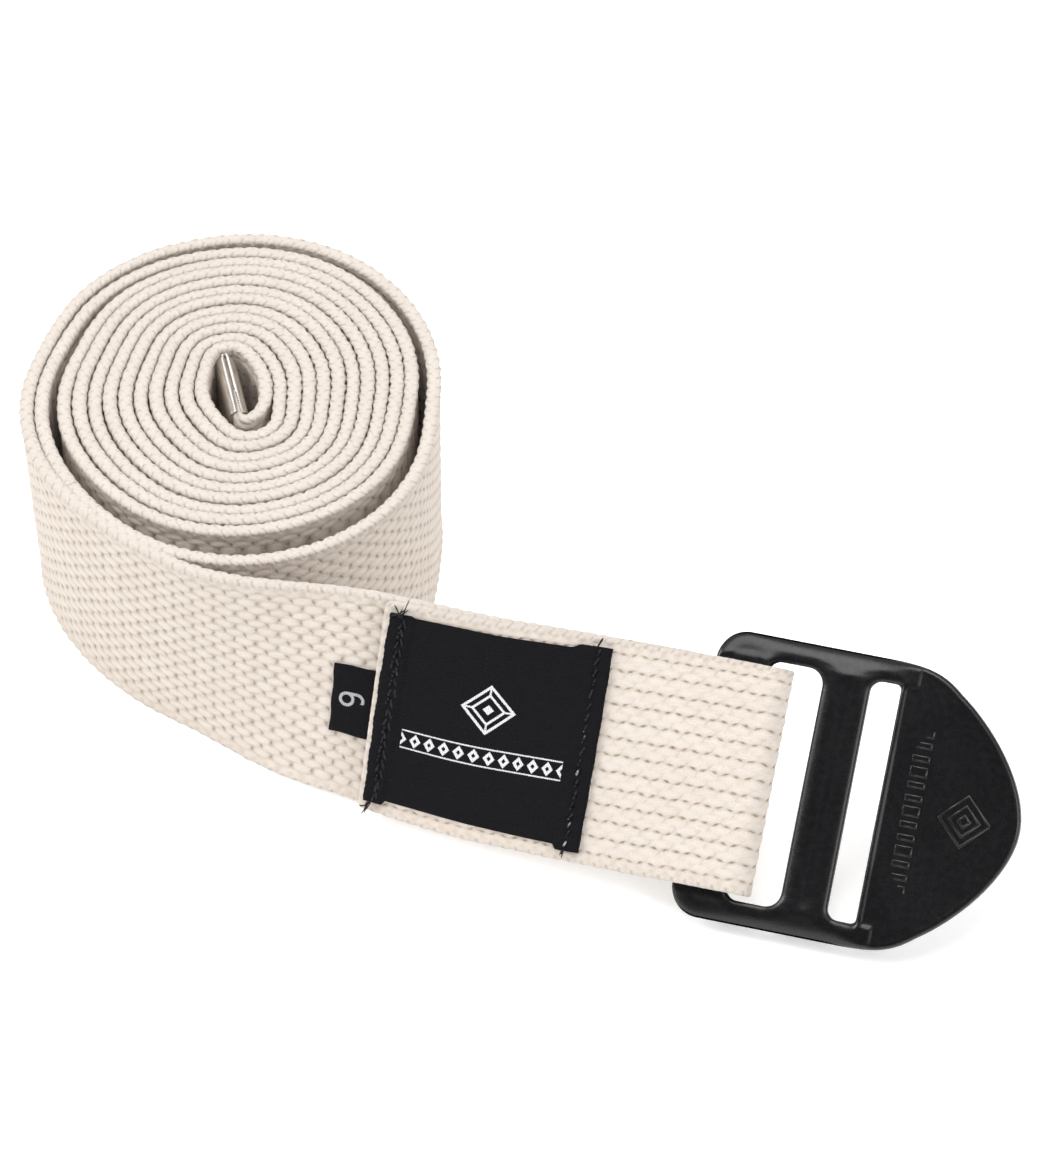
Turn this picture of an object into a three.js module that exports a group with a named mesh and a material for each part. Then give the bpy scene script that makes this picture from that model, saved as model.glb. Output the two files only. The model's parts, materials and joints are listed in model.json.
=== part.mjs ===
// Stretching strap: cotton webbing rolled on edge, its outer end looped through a plastic cinch buckle.
// Millimetres, +Z up, +X along the tail towards the buckle, Z = 0 where the roll stands.
// Names used below: `lean` is how far the strap's width tips back from upright about X, `turns` counts
// windings from the inner end, and a station is one cross-section of the webbing.
import * as THREE from "three";

const RAD = Math.PI / 180;
const CLEARANCE = 0.3;

// webbing
const WIDTH = 38.1;
const THICKNESS = 2.0;
const CENTRE_Z = WIDTH / 2;

// roll: an oval hollow with the layers wound round it
const STEPS_PER_TURN = 36;
const ROLL_TILT = 17 * RAD;
const HOLLOW_TILT = 28 * RAD;
const HOLLOW = { halfWidth: 3.1, halfDepth: 8.2, centreWidth: 0.27, centreDepth: -0.5, squareness: 2.7 };
const PITCH = { mean: 2.45, once: 0.07, onceAt: -67 * RAD, twice: 0.13, twiceAt: 56.8 * RAD };
const FIRST_STEP = 7;
const LAST_STEP = 423;
const FRONT_BULGE = { turns: 11.03, height: 3.3, spread: 0.13 };
const LOOSENING = { from: 10.45, to: 10.75, amount: 1.15 };
const SPLAY = { most: 3.3 * RAD, fadeFrom: -31, fadeTo: -3 };
const INNER_END = { straight: 1.3, exitPull: 2.8, rollPull: 5, pieces: 8 };

// tail
const LEAVING = { end: new THREE.Vector2(28, -46.6), rollPull: 22, tailPull: 31, pieces: 24 };
const DOUBLED = { from: 30, to: 60, y: -48.7 };
const FLEX_X = 8;
const FLEX_GAP = 1.8;
const LEAN = { first: 20.7 * RAD, firstStart: 2, firstEnd: 37, second: 26.8 * RAD, secondStart: 33, secondEnd: 95 };
const TAIL_STEP = 2;

// loop through the buckle, sewn down under the label
const LAYER_SPACING = THICKNESS + CLEARANCE;
const CUT_END_X = 38.1;
const PART_X = 79;
const BAR_START_X = 91.7;
const LOOP_TURN_X = 102.9;
const LOOP_PIECES = 12;

// cinch buckle, measured from the middle of its end bar
const BUCKLE_X = 97.9;
const BUCKLE_THICKNESS = 2.8;
const BUCKLE_HALF_WIDTH = 24.0;
const BAR_HALF = 4.5;
const LOOP_OPENING = { start: BAR_HALF, end: 13.7, halfWidth: 20, radius: 2.6 };
const GRIP_OPENING = { start: 21.7, end: 26.7, halfWidth: 20, radius: 1.5 };
const NOSE = { shoulder: 24.5, flank: 37.0, flankHalf: 20.3, tip: 50.5 };
const NOSE_PULLS = { shoulder: 31, beforeFlank: { x: 33.5, y: 23.2 }, afterFlank: { x: 43, y: 16.2 }, tip: 7.5 };
const BUCKLE_CORNER = 5;
const BUCKLE_BEVEL = 0.6;

// label and size tab
const LABEL = { start: 39.4, end: 76.9, low: -16.1, high: 17.1, thickness: 0.5 };
const TAB = { start: 30.6, end: CUT_END_X - CLEARANCE, low: -7.2, high: 5.4, thickness: 0.5 };
const SEAM = { inset: 2.2, width: 0.6, thickness: 0.4, margin: 1.2 };

// folded metal end clip in the hollow
const CLIP_MOUTH = new THREE.Vector2(2.1, -5.2);
const CLIP_TIP = new THREE.Vector2(-4.2, 7.3);
const CLIP = { halfOuter: 1.95, sheet: 0.55, height: 37.4, webbingInside: 4.5 };

const BACK_LAYER_AT_BAR = LAYER_SPACING / 2 - loopRadius();
const FRONT_LAYER_AT_BAR = LAYER_SPACING / 2 + loopRadius();

function loopRadius() {
  return BUCKLE_THICKNESS / 2 + CLEARANCE + THICKNESS / 2;
}

function smooth(value, from, to) {
  return THREE.MathUtils.smoothstep(value, from, to);
}

function material(color, roughness, metalness = 0) {
  return new THREE.MeshStandardMaterial({ color, roughness, metalness });
}

// ---- closed ribbon through stations { centre, across, normal } ----
function ribbon(stations, width, thickness) {
  const positions = [];
  for (const { centre, across, normal } of stations) {
    for (const [w, t] of [[-1, -1], [1, -1], [1, 1], [-1, 1]]) {
      const corner = centre.clone();
      corner.addScaledVector(across, (w * width) / 2).addScaledVector(normal, (t * thickness) / 2);
      positions.push(corner.x, corner.y, corner.z);
    }
  }
  const index = [0, 1, 2, 0, 2, 3];
  const last = (stations.length - 1) * 4;
  for (let start = 0; start < last; start += 4) {
    for (let side = 0; side < 4; side += 1) {
      const next = (side + 1) % 4;
      const [a, b, c, d] = [start + side, start + next, start + 4 + next, start + 4 + side];
      index.push(a, c, b, a, d, c);
    }
  }
  index.push(last, last + 2, last + 1, last, last + 3, last + 2);
  return closedGeometry(positions, index);
}

function closedGeometry(positions, index) {
  const geometry = new THREE.BufferGeometry();
  geometry.setAttribute("position", new THREE.Float32BufferAttribute(positions, 3));
  geometry.setIndex(index);
  if (signedVolume(geometry) < 0) {
    index.reverse();
    geometry.setIndex(index);
  }
  geometry.computeVertexNormals();
  return geometry;
}

function signedVolume(geometry) {
  const position = geometry.getAttribute("position");
  const index = geometry.getIndex();
  const [a, b, c] = [new THREE.Vector3(), new THREE.Vector3(), new THREE.Vector3()];
  let volume = 0;
  for (let i = 0; i < index.count; i += 3) {
    a.fromBufferAttribute(position, index.getX(i));
    b.fromBufferAttribute(position, index.getX(i + 1));
    c.fromBufferAttribute(position, index.getX(i + 2));
    volume += a.dot(b.cross(c)) / 6;
  }
  return volume;
}

// ---- the roll's plan: radius of the webbing's middle at each step outward ----
function hollowRadius(angle) {
  const [x, y] = [Math.cos(angle - HOLLOW_TILT), Math.sin(angle - HOLLOW_TILT)];
  let [low, high] = [0, 2 * HOLLOW.halfDepth];
  while (high - low > 1e-9) {
    const radius = (low + high) / 2;
    const width = Math.abs(radius * x - HOLLOW.centreWidth) / HOLLOW.halfWidth;
    const depth = Math.abs(radius * y - HOLLOW.centreDepth) / HOLLOW.halfDepth;
    if (width ** HOLLOW.squareness + depth ** HOLLOW.squareness < 1) low = radius;
    else high = radius;
  }
  return low;
}

function pitchAt(angle) {
  const once = PITCH.once * Math.cos(angle - PITCH.onceAt);
  return PITCH.mean + once + PITCH.twice * Math.cos(2 * (angle - PITCH.twiceAt));
}

// the windings splay outward at the top on the roll's left, more so the further out they are
function splayAt(step) {
  const leftness = Math.max(0, -Math.cos(stepAngle(step) - ROLL_TILT));
  return (-SPLAY.most * leftness ** 2 * step) / LAST_STEP;
}

function stepAngle(step) {
  return ROLL_TILT - Math.PI / 2 + (step / STEPS_PER_TURN) * 2 * Math.PI;
}

function tightRadii() {
  const radii = [];
  for (let step = 0; step <= LAST_STEP + 1; step += 1) {
    const angle = stepAngle(step);
    if (step <= STEPS_PER_TURN + 1) {
      radii.push(hollowRadius(angle) + THICKNESS / 2 + (pitchAt(angle) * step) / STEPS_PER_TURN);
      continue;
    }
    const inner = step - STEPS_PER_TURN;
    const rise = (radii[inner + 1] - radii[inner - 1]) / 2;
    const run = (radii[inner] * 2 * Math.PI) / STEPS_PER_TURN;
    radii.push(radii[inner] + pitchAt(angle) * Math.hypot(1, rise / run));
  }
  return radii;
}

function rollPlan() {
  const radii = tightRadii();
  const points = [];
  for (let step = FIRST_STEP; step <= LAST_STEP; step += 1) {
    const turns = step / STEPS_PER_TURN;
    const bulge = FRONT_BULGE.height * Math.exp(-(((turns - FRONT_BULGE.turns) / FRONT_BULGE.spread) ** 2));
    const loose = LOOSENING.amount * smooth(turns, LOOSENING.from, LOOSENING.to);
    const radius = radii[step] + bulge + loose;
    const angle = stepAngle(step);
    points.push(new THREE.Vector2(radius * Math.cos(angle), radius * Math.sin(angle)));
  }
  return points;
}

function towards(from, to) {
  return to.clone().sub(from).normalize();
}

// the inner end leaves the clip straight, then turns hard into the first winding
function innerEndPlan(roll) {
  const clipHeading = towards(CLIP_TIP, CLIP_MOUTH);
  const buried = CLIP_MOUTH.clone().addScaledVector(clipHeading, -CLIP.webbingInside);
  const exit = CLIP_MOUTH.clone().addScaledVector(clipHeading, INNER_END.straight);
  const exitPull = exit.clone().addScaledVector(clipHeading, INNER_END.exitPull);
  const rollPull = roll[0].clone().addScaledVector(towards(roll[1], roll[0]), INNER_END.rollPull);
  const turn = new THREE.CubicBezierCurve(exit, exitPull, rollPull, roll[0]);
  return [buried, CLIP_MOUTH, ...turn.getPoints(INNER_END.pieces)];
}

// the outer end leaves the roll at the left and swings round the front into the tail's line
function leavingCurve(roll) {
  const end = roll.at(-1);
  const rollPull = end.clone().addScaledVector(towards(roll.at(-2), end), LEAVING.rollPull);
  const tailPull = new THREE.Vector2(LEAVING.end.x - LEAVING.tailPull, LEAVING.end.y);
  return new THREE.CubicBezierCurve(end, rollPull, tailPull, LEAVING.end);
}

function pointAtX(curve, x) {
  let [low, high] = [0, 1];
  while (high - low > 1e-6) {
    const middle = (low + high) / 2;
    if (curve.getPoint(middle).x < x) low = middle;
    else high = middle;
  }
  return curve.getPoint(low);
}

function leanAt(x) {
  const second = THREE.MathUtils.clamp((x - LEAN.secondStart) / (LEAN.secondEnd - LEAN.secondStart), 0, 1);
  const splay = -SPLAY.most * (1 - smooth(x, SPLAY.fadeFrom, SPLAY.fadeTo));
  return splay + LEAN.first * smooth(x, LEAN.firstStart, LEAN.firstEnd) + LEAN.second * second;
}

function headings(points) {
  return points.map((point, i) => {
    const before = points[Math.max(0, i - 1)];
    const after = points[Math.min(points.length - 1, i + 1)];
    return after.clone().sub(before).normalize();
  });
}

function coilStations() {
  const cut = pointAtX(leaving, FLEX_X - FLEX_GAP / 2);
  const front = leaving.getPoints(LEAVING.pieces).slice(1);
  const frontUpToCut = front.filter((point) => point.x < cut.x - 1);
  const innerEnd = innerEndPlan(roll);
  const points = [...innerEnd, ...roll.slice(1), ...frontUpToCut, cut];
  const directions = headings(points);
  const frontStart = points.length - frontUpToCut.length - 1;
  return points.map((point, i) => {
    const step = FIRST_STEP + i - (innerEnd.length - 1);
    const inRoll = i < innerEnd.length ? 0 : splayAt(step);
    return leaningStation(point, directions[i], i < frontStart ? inRoll : leanAt(point.x), 0);
  });
}

// the height of the strap's middle, lifted where needed so that its lower back corner stays off the ground
function middleHeight(lean) {
  const cornerDrop = (THICKNESS / 2) * Math.abs(Math.sin(lean)) - CENTRE_Z * (1 - Math.cos(lean));
  return CENTRE_Z + Math.max(0, cornerDrop);
}

// a section whose width tips back by `lean` about its heading, set `offset` towards its front face
function leaningStation(point, heading, lean, offset) {
  const forward = new THREE.Vector3(heading.x, heading.y, 0);
  const back = new THREE.Vector3(-heading.y, heading.x, 0);
  const across = back.multiplyScalar(Math.sin(lean)).add(new THREE.Vector3(0, 0, Math.cos(lean)));
  const normal = forward.clone().cross(across);
  const centre = new THREE.Vector3(point.x, point.y, middleHeight(lean)).addScaledVector(normal, offset);
  return { centre, across, normal };
}

// ---- the tail's middle line, and points set off it in its own leaning frame ----
function tailMiddle(x) {
  if (x < LEAVING.end.x) return pointAtX(leaving, x);
  const y = THREE.MathUtils.lerp(LEAVING.end.y, DOUBLED.y, smooth(x, DOUBLED.from, DOUBLED.to));
  return new THREE.Vector2(x, y);
}

function tailStation(x, offset, slide = 0) {
  const heading = towards(tailMiddle(x - 0.5), tailMiddle(x + 0.5));
  const station = leaningStation(tailMiddle(x), heading, leanAt(x), offset);
  station.centre.addScaledVector(station.across, slide);
  return station;
}

// both ends and every whole step between, so that stacked layers bend at the same places
function placesAlong(from, to) {
  const places = [from];
  for (let x = Math.ceil(from / TAIL_STEP + 0.01) * TAIL_STEP; x < to; x += TAIL_STEP) places.push(x);
  return [...places, to];
}

function backLayer(x) {
  return BACK_LAYER_AT_BAR * smooth(x, PART_X, BAR_START_X);
}

function frontLayer(x) {
  return THREE.MathUtils.lerp(LAYER_SPACING, FRONT_LAYER_AT_BAR, smooth(x, PART_X, BAR_START_X));
}

// ---- pieces ----
function webbingCoil() {
  return ribbon(coilStations(), WIDTH, THICKNESS);
}

function webbingTail() {
  const places = placesAlong(FLEX_X + FLEX_GAP / 2, PART_X - CLEARANCE);
  return ribbon(places.map((x) => tailStation(x, 0)), WIDTH, THICKNESS);
}

function webbingFoldBack() {
  const places = placesAlong(CUT_END_X, PART_X - CLEARANCE);
  return ribbon(places.map((x) => tailStation(x, LAYER_SPACING)), WIDTH, THICKNESS);
}

// up behind the end bar, round it and back down its front
function webbingLoop() {
  const places = placesAlong(PART_X, LOOP_TURN_X);
  const back = places.map((x) => tailStation(x, backLayer(x)));
  const middle = tailStation(LOOP_TURN_X, LAYER_SPACING / 2);
  const turn = [];
  for (let i = 1; i < LOOP_PIECES; i += 1) {
    const angle = (i / LOOP_PIECES) * Math.PI;
    const normal = middle.normal.clone().multiplyScalar(Math.cos(angle));
    normal.x -= Math.sin(angle);
    const centre = middle.centre.clone().addScaledVector(normal, -loopRadius());
    turn.push({ centre, across: middle.across, normal });
  }
  const front = places.toReversed().map((x) => {
    const station = tailStation(x, frontLayer(x));
    return { ...station, normal: station.normal.clone().negate() };
  });
  return ribbon([...back, ...turn, ...front], WIDTH, THICKNESS);
}

function patch({ start, end, low, high, thickness }, layer) {
  const places = placesAlong(start, end);
  const offset = layer + THICKNESS / 2 + CLEARANCE + thickness / 2;
  return ribbon(places.map((x) => tailStation(x, offset, (low + high) / 2)), high - low, thickness);
}

function seamThread(x, surface) {
  const stations = [x - SEAM.width / 2, x + SEAM.width / 2].map((place) => {
    return tailStation(place, surface, (LABEL.low + LABEL.high) / 2);
  });
  return ribbon(stations, LABEL.high - LABEL.low - 2 * SEAM.margin, SEAM.thickness);
}

function roundedOpening({ start, end, halfWidth, radius }) {
  const path = new THREE.Path();
  path.moveTo(start + radius, -halfWidth);
  path.lineTo(end - radius, -halfWidth);
  path.absarc(end - radius, radius - halfWidth, radius, -Math.PI / 2, 0, false);
  path.lineTo(end, halfWidth - radius);
  path.absarc(end - radius, halfWidth - radius, radius, 0, Math.PI / 2, false);
  path.lineTo(start + radius, halfWidth);
  path.absarc(start + radius, halfWidth - radius, radius, Math.PI / 2, Math.PI, false);
  path.lineTo(start, radius - halfWidth);
  path.absarc(start + radius, radius - halfWidth, radius, Math.PI, 1.5 * Math.PI, false);
  return path;
}

function buckleOutline() {
  const corner = BUCKLE_CORNER;
  const half = BUCKLE_HALF_WIDTH;
  const { shoulder, flank, flankHalf, tip } = NOSE;
  const { beforeFlank: before, afterFlank: after } = NOSE_PULLS;
  const shape = new THREE.Shape();
  shape.moveTo(corner - BAR_HALF, -half);
  shape.lineTo(shoulder, -half);
  shape.bezierCurveTo(NOSE_PULLS.shoulder, -half, before.x, -before.y, flank, -flankHalf);
  shape.bezierCurveTo(after.x, -after.y, tip, -NOSE_PULLS.tip, tip, 0);
  shape.bezierCurveTo(tip, NOSE_PULLS.tip, after.x, after.y, flank, flankHalf);
  shape.bezierCurveTo(before.x, before.y, NOSE_PULLS.shoulder, half, shoulder, half);
  shape.lineTo(corner - BAR_HALF, half);
  shape.absarc(corner - BAR_HALF, half - corner, corner, Math.PI / 2, Math.PI, false);
  shape.lineTo(-BAR_HALF, corner - half);
  shape.absarc(corner - BAR_HALF, corner - half, corner, Math.PI, 1.5 * Math.PI, false);
  shape.holes.push(roundedOpening(LOOP_OPENING), roundedOpening(GRIP_OPENING));
  return shape;
}

function cinchBuckle() {
  const geometry = new THREE.ExtrudeGeometry(buckleOutline(), {
    depth: BUCKLE_THICKNESS - 2 * BUCKLE_BEVEL,
    bevelThickness: BUCKLE_BEVEL,
    bevelSize: BUCKLE_BEVEL,
    bevelOffset: -BUCKLE_BEVEL,
    bevelSegments: 2,
    curveSegments: 10,
  });
  return geometry.translate(0, 0, BUCKLE_BEVEL - BUCKLE_THICKNESS / 2);
}

function endClip() {
  const length = CLIP_MOUTH.distanceTo(CLIP_TIP);
  const { halfOuter, sheet, height } = CLIP;
  const halfInner = halfOuter - sheet;
  const shape = new THREE.Shape();
  shape.moveTo(length, -halfOuter);
  shape.lineTo(length, -halfInner);
  shape.lineTo(halfOuter, -halfInner);
  shape.absarc(halfOuter, 0, halfInner, 1.5 * Math.PI, Math.PI / 2, true);
  shape.lineTo(length, halfInner);
  shape.lineTo(length, halfOuter);
  shape.lineTo(halfOuter, halfOuter);
  shape.absarc(halfOuter, 0, halfOuter, Math.PI / 2, 1.5 * Math.PI, false);
  return new THREE.ExtrudeGeometry(shape, { depth: height, bevelEnabled: false, curveSegments: 8 });
}

function named(name, geometry, look) {
  const mesh = new THREE.Mesh(geometry, look);
  mesh.name = name;
  return mesh;
}

// ---- assembly ----
const roll = rollPlan();
const leaving = leavingCurve(roll);
const cotton = material("#efe4d6", 0.9);
const wovenBlack = material("#15151a", 0.75);
const thread = material("#1b1b1e", 0.8);
const plastic = material("#1f2022", 0.45);
const steel = material("#b9b3ab", 0.3, 1);

const strap = new THREE.Group();
strap.add(named("webbing_coil", webbingCoil(), cotton));
strap.add(named("webbing_tail", webbingTail(), cotton));
strap.add(named("webbing_fold_back", webbingFoldBack(), cotton));
strap.add(named("webbing_loop", webbingLoop(), cotton));
strap.add(named("woven_label", patch(LABEL, LAYER_SPACING), wovenBlack));
strap.add(named("size_tab", patch(TAB, 0), wovenBlack));

const labelFace = LAYER_SPACING + THICKNESS / 2 + 2 * CLEARANCE + LABEL.thickness + SEAM.thickness / 2;
const strapBack = -(THICKNESS / 2 + CLEARANCE + SEAM.thickness / 2);
for (const [side, x] of [["left", LABEL.start + SEAM.inset], ["right", LABEL.end - SEAM.inset]]) {
  strap.add(named(`seam_${side}_top_thread`, seamThread(x, labelFace), thread));
  strap.add(named(`seam_${side}_under_thread`, seamThread(x, strapBack), thread));
}

const buckle = named("cinch_buckle", cinchBuckle(), plastic);
const barMiddle = tailStation(BUCKLE_X, LAYER_SPACING / 2);
buckle.position.copy(barMiddle.centre);
buckle.rotation.x = Math.PI / 2 - leanAt(BUCKLE_X);
strap.add(buckle);

const clip = named("end_clip", endClip(), steel);
clip.position.set(CLIP_TIP.x, CLIP_TIP.y, (WIDTH - CLIP.height) / 2);
clip.rotation.z = Math.atan2(CLIP_MOUTH.y - CLIP_TIP.y, CLIP_MOUTH.x - CLIP_TIP.x);
strap.add(clip);

// origin: middle of the bounding box, on the surface the strap stands on
const extent = new THREE.Box3().setFromObject(strap, true);
const middle = extent.getCenter(new THREE.Vector3());
strap.position.set(-middle.x, -middle.y, -extent.min.z);

export default strap;
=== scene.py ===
"""Stretching strap: a rolled cotton strap on edge, its tail looped through a black plastic cinch buckle.

Everything is laid out in millimetres about the roll's middle, in the directions of the row frame, and
placed() turns it into metres in the row frame. A station is one cross-section of the webbing: its middle,
the direction across its width, its outward normal and its distance along the webbing.
"""
import json
import math

import bpy
import numpy as np
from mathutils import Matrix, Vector
from mathutils.geometry import tessellate_polygon


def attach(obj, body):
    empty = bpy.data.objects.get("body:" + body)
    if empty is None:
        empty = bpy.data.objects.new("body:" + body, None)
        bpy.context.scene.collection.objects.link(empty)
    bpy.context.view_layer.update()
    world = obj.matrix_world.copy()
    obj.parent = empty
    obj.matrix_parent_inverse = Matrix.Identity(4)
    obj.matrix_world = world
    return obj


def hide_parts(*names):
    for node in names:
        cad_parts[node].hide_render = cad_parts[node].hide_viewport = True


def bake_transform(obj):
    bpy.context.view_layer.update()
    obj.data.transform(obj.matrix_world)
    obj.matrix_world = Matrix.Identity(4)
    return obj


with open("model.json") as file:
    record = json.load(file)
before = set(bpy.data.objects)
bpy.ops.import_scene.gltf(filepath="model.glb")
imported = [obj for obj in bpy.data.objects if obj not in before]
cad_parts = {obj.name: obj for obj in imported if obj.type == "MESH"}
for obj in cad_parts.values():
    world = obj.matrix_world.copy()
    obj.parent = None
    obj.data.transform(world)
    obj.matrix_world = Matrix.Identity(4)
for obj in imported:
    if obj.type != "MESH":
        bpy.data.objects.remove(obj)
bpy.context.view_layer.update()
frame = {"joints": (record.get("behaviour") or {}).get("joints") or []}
rng = np.random.default_rng(7)

# webbing, as the CAD has it
WIDTH = 38.1
THICKNESS = 2.0
CENTRE_Z = WIDTH / 2
CLEARANCE = 0.3

# roll
STEPS_PER_TURN = 36
FINE = 10
ROLL_TILT = math.radians(17)
HOLLOW_TILT = math.radians(28)
HOLLOW_HALF_WIDTH, HOLLOW_HALF_DEPTH = 3.1, 8.2
HOLLOW_CENTRE_WIDTH, HOLLOW_CENTRE_DEPTH = 0.27, -0.5
HOLLOW_SQUARENESS = 2.7
PITCH_MEAN, PITCH_ONCE, PITCH_TWICE = 2.45, 0.07, 0.13
PITCH_ONCE_AT, PITCH_TWICE_AT = math.radians(-67), math.radians(56.8)
FIRST_STEP, LAST_STEP = 7, 423
LAST_TURN = LAST_STEP / STEPS_PER_TURN
BULGE_TURN, BULGE_HEIGHT, BULGE_SPREAD = 11.03, 3.3, 0.13
LOOSE_FROM, LOOSE_TO, LOOSE_AMOUNT = 10.45, 10.75, 1.15
OUTER_PIECE_TURN, LEAD_X = 10.86, -29
SPLAY, SPLAY_FADE_FROM, SPLAY_FADE_TO = math.radians(3.3), -31, -3
CLIP_MOUTH, CLIP_TIP = np.array([2.1, -5.2]), np.array([-4.2, 7.3])
CLIP_HEIGHT = 37.4
WEBBING_IN_CLIP = 4.5
STRAIGHT_FROM_CLIP, EXIT_PULL, INNER_PULL = 1.3, 2.8, 5

# tail
LEAVE_END = np.array([28.0, -46.6])
ROLL_PULL, LEAVE_PULL = 22, 31.0
FIRST_LEAN, FIRST_LEAN_FROM, FIRST_LEAN_TO = math.radians(20.7), 2, 37
SECOND_LEAN, SECOND_LEAN_FROM, SECOND_LEAN_TO = math.radians(26.8), 33, 95
DOUBLED_FROM, DOUBLED_TO, DOUBLED_Y = 30, 60, -48.7
LAYER_SPACING = THICKNESS + CLEARANCE
FLEX_X, SWING_X = (-12, 27), (77.5, 93)
CUT_END_X, PART_X, BAR_START_X, LOOP_TURN_X = 38.1, 79.0, 91.7, 102.9

# label, size tab and seams
LABEL_START, LABEL_END, LABEL_LOW, LABEL_HIGH = 39.4, 76.9, -16.1, 17.1
TAB_START, TAB_END, TAB_LOW, TAB_HIGH = 30.6, 40.7, -7.2, 5.4
SEAM_INSET = 2.2

# buckle, from the middle of its end bar
BUCKLE_X = 97.9
BUCKLE_THICKNESS = 2.8
BUCKLE_HALF_WIDTH = 24.0
BAR_HALF = 4.5
OPENING_HALF = 20.0
LOOP_OPENING = (4.5, 13.7)
GRIP_OPENING = (21.7, 26.7)
NOSE_SHOULDER, NOSE_FLANK, NOSE_FLANK_HALF, NOSE_TIP = 24.5, 37.0, 20.3, 50.5
BUCKLE_CORNER = 5.0
LOOP_RADIUS = BUCKLE_THICKNESS / 2 + CLEARANCE + THICKNESS / 2

# camera and floor
CAMERA_AZIMUTH, CAMERA_ELEVATION, CAMERA_DISTANCE = 15.2, 45.44, 1.4
CAMERA_TARGET, CAMERA_LENS = (49.72, 2.4, 0), 280.4
FLOOR_REACH = 6.0

# weave
ROW = 1.4
ROWS = 26
GRAIN = 3.75
PIT_PERIOD = GRAIN / 2
SELVEDGE_PERIOD = 2.3
CREST = 1.09
RELIEF = 0.34
EDGE_HALF = 1.4
EDGE_TOUCH = 1.13
RETURN_EDGE_HALF = 1.13
EDGE_V = WIDTH / 2 - CREST


def smooth(x, low, high):
    t = np.clip((np.asarray(x, float) - low) / (high - low), 0, 1)
    return t * t * (3 - 2 * t)


def unit(v):
    return v / np.linalg.norm(v, axis=-1, keepdims=True)


# --- the webbing's route
def hollow_radius(angle):
    x, y = np.cos(angle - HOLLOW_TILT), np.sin(angle - HOLLOW_TILT)
    low, high = np.zeros(np.shape(angle)), np.full(np.shape(angle), 2 * HOLLOW_HALF_DEPTH)
    for _ in range(40):
        radius = (low + high) / 2
        width = np.abs(radius * x - HOLLOW_CENTRE_WIDTH) / HOLLOW_HALF_WIDTH
        depth = np.abs(radius * y - HOLLOW_CENTRE_DEPTH) / HOLLOW_HALF_DEPTH
        within = width**HOLLOW_SQUARENESS + depth**HOLLOW_SQUARENESS < 1
        low, high = np.where(within, radius, low), np.where(within, high, radius)
    return low


def pitch_at(angle):
    once = PITCH_ONCE * np.cos(angle - PITCH_ONCE_AT)
    return PITCH_MEAN + once + PITCH_TWICE * np.cos(2 * (angle - PITCH_TWICE_AT))


def splay_at(turns):
    """How far the windings lean outward at the top on the roll's left, as a negative lean."""
    leftness = np.maximum(0, -np.cos((turns - 0.25) * 2 * math.pi))
    return -SPLAY * leftness**2 * turns / LAST_TURN


def roll_radii():
    """Radius of the webbing's middle at each whole step of a turn, each winding laid on the one inside it."""
    steps = np.arange(LAST_STEP + 2)
    angle = ROLL_TILT - math.pi / 2 + steps / STEPS_PER_TURN * 2 * math.pi
    radius = hollow_radius(angle) + THICKNESS / 2 + pitch_at(angle) * steps / STEPS_PER_TURN
    for i in range(STEPS_PER_TURN + 2, len(steps)):
        inner = i - STEPS_PER_TURN
        rise = (radius[inner + 1] - radius[inner - 1]) / 2
        run = radius[inner] * 2 * math.pi / STEPS_PER_TURN
        radius[i] = radius[inner] + pitch_at(angle[i]) * math.hypot(1, rise / run)
    return radius


def between_steps(values, place):
    """A smooth curve through values, read at fractional places."""
    i = np.clip(np.floor(place).astype(int), 1, len(values) - 3)
    t = place - i
    before, first, second, after = (values[i + k] for k in (-1, 0, 1, 2))
    at_first, at_second = before - 2 * first + second, first - 2 * second + after
    bend = t * (1 - t) / 2 * ((t - 1) * at_first - t * at_second)
    return first + t * (second - first) + bend


def roll_plan():
    """Points of the roll's plan, the number of turns wound at each, and its windings' spacing there."""
    place = np.linspace(FIRST_STEP, LAST_STEP, (LAST_STEP - FIRST_STEP) * FINE + 1)
    turns = place / STEPS_PER_TURN
    angle = ROLL_TILT - math.pi / 2 + turns * 2 * math.pi
    radius = between_steps(roll_radii(), place)
    radius += BULGE_HEIGHT * np.exp(-(((turns - BULGE_TURN) / BULGE_SPREAD) ** 2))
    radius += LOOSE_AMOUNT * smooth(turns, LOOSE_FROM, LOOSE_TO)
    plan = radius[:, None] * np.column_stack([np.cos(angle), np.sin(angle)])
    return plan, turns, pitch_at(angle)


def bezier(a, b, c, d, count):
    t = np.linspace(0, 1, count)[:, None]
    return (1 - t) ** 3 * a + 3 * (1 - t) ** 2 * t * b + 3 * (1 - t) * t**2 * c + t**3 * d


def lean_at(x):
    second = np.clip((x - SECOND_LEAN_FROM) / (SECOND_LEAN_TO - SECOND_LEAN_FROM), 0, 1)
    splay = -SPLAY * (1 - smooth(x, SPLAY_FADE_FROM, SPLAY_FADE_TO))
    return splay + FIRST_LEAN * smooth(x, FIRST_LEAN_FROM, FIRST_LEAN_TO) + SECOND_LEAN * second


def middle_height(lean):
    drop = THICKNESS / 2 * np.abs(np.sin(lean)) - CENTRE_Z * (1 - np.cos(lean))
    return CENTRE_Z + np.maximum(0, drop)


def tail_y(x):
    return LEAVE_END[1] + (DOUBLED_Y - LEAVE_END[1]) * smooth(x, DOUBLED_FROM, DOUBLED_TO)


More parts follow.
